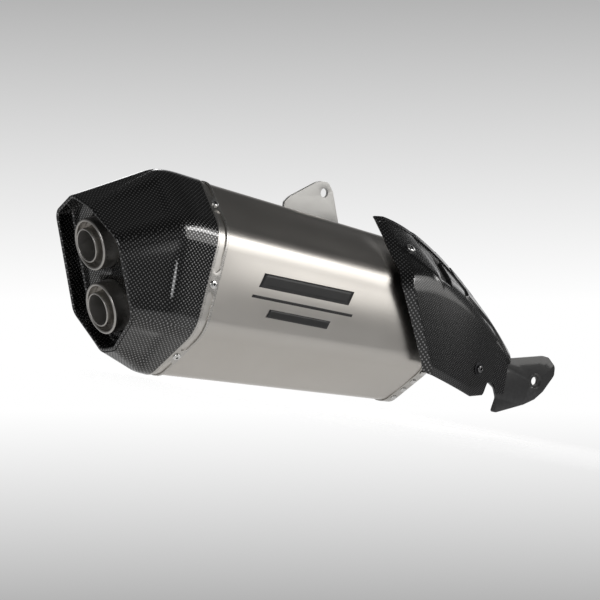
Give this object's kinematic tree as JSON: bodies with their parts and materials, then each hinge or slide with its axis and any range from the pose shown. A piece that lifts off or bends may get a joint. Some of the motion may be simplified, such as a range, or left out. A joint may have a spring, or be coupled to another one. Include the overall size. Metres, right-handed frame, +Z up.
{
  "type": "motorcycle silencer",
  "caption": "Tall hexagonal slip-on silencer with a carbon end cap, stacked twin outlets, hanger tab, clamped inlet socket and a carbon heat shield with a bolt-on ear.",
  "frame": {"origin": "centre of the inlet socket bore at its mouth", "axes": "+X out of the socket towards the engine, -X to the outlets, -Y outboard, +Z up"},
  "size_m": [0.5429, 0.1333, 0.2078],
  "materials": {
    "titanium": "satin brushed titanium",
    "carbon": "clear-coated plain weave carbon",
    "carbon_dark": "black carbon plate",
    "steel_satin": "satin",
    "steel_bright": "bright",
    "steel_polished": "polished",
    "steel_dull": "dull",
    "blasted_steel": "bead blasted",
    "black_screw": "black oxide",
    "rivet_alu": "bright",
    "wool": "glass fibre"
  },
  "bodies": {
    "silencer": {"outer_sleeve": "titanium", "end_cap": "carbon", "cap_carrier_ring": "steel_dull", "outlet_band": "steel_satin", "outlet_band_screws": "steel_bright", "chamber_box": "steel_dull", "outlet_ring_upper": "steel_polished", "outlet_ring_lower": "steel_polished", "outlet_bulkhead": "steel_dull", "perforated_core": "steel_dull", "packing_wool": "wool", "inlet_cap": "titanium", "inlet_band": "steel_satin", "inlet_band_rivets": "rivet_alu", "inlet_pipe": "steel_satin", "tab_bracket": "blasted_steel", "tab_rivets": "rivet_alu", "heat_shield": "carbon", "shield_ear": "carbon_dark", "upper_standoff": "steel_dull", "lower_stay": "steel_dull", "shield_bolt_upper": "steel_bright", "shield_bolt_lower": "steel_bright", "shield_washers": "black_screw"},
    "insert_upper": {"noise_insert_upper": "steel_polished", "insert_screw_upper": "black_screw"},
    "insert_lower": {"noise_insert_lower": "steel_polished", "insert_screw_lower": "black_screw"},
    "clamp": {"inlet_clamp": "steel_satin", "clamp_nut": "black_screw"},
    "clamp_screw": {"clamp_bolt": "black_screw"}
  },
  "joints": [
    {"name": "insert_upper_slide", "type": "slide", "parent": "silencer", "child": "insert_upper", "axis": [-0.9157, 0, -0.4019], "range_m": [0, 0.066]},
    {"name": "insert_lower_slide", "type": "slide", "parent": "silencer", "child": "insert_lower", "axis": [-0.9157, 0, -0.4019], "range_m": [0, 0.066]},
    {"name": "clamp_swivel", "type": "hinge", "parent": "silencer", "child": "clamp", "pos_m": [-0.007, 0, 0], "axis": [1, 0, 0], "continuous": true},
    {"name": "clamp_bolt_turn", "type": "hinge", "parent": "clamp", "child": "clamp_screw", "pos_m": [-0.007, 0.02517, -0.02517], "axis": [0, -0.7071, -0.7071], "continuous": true}
  ]
}
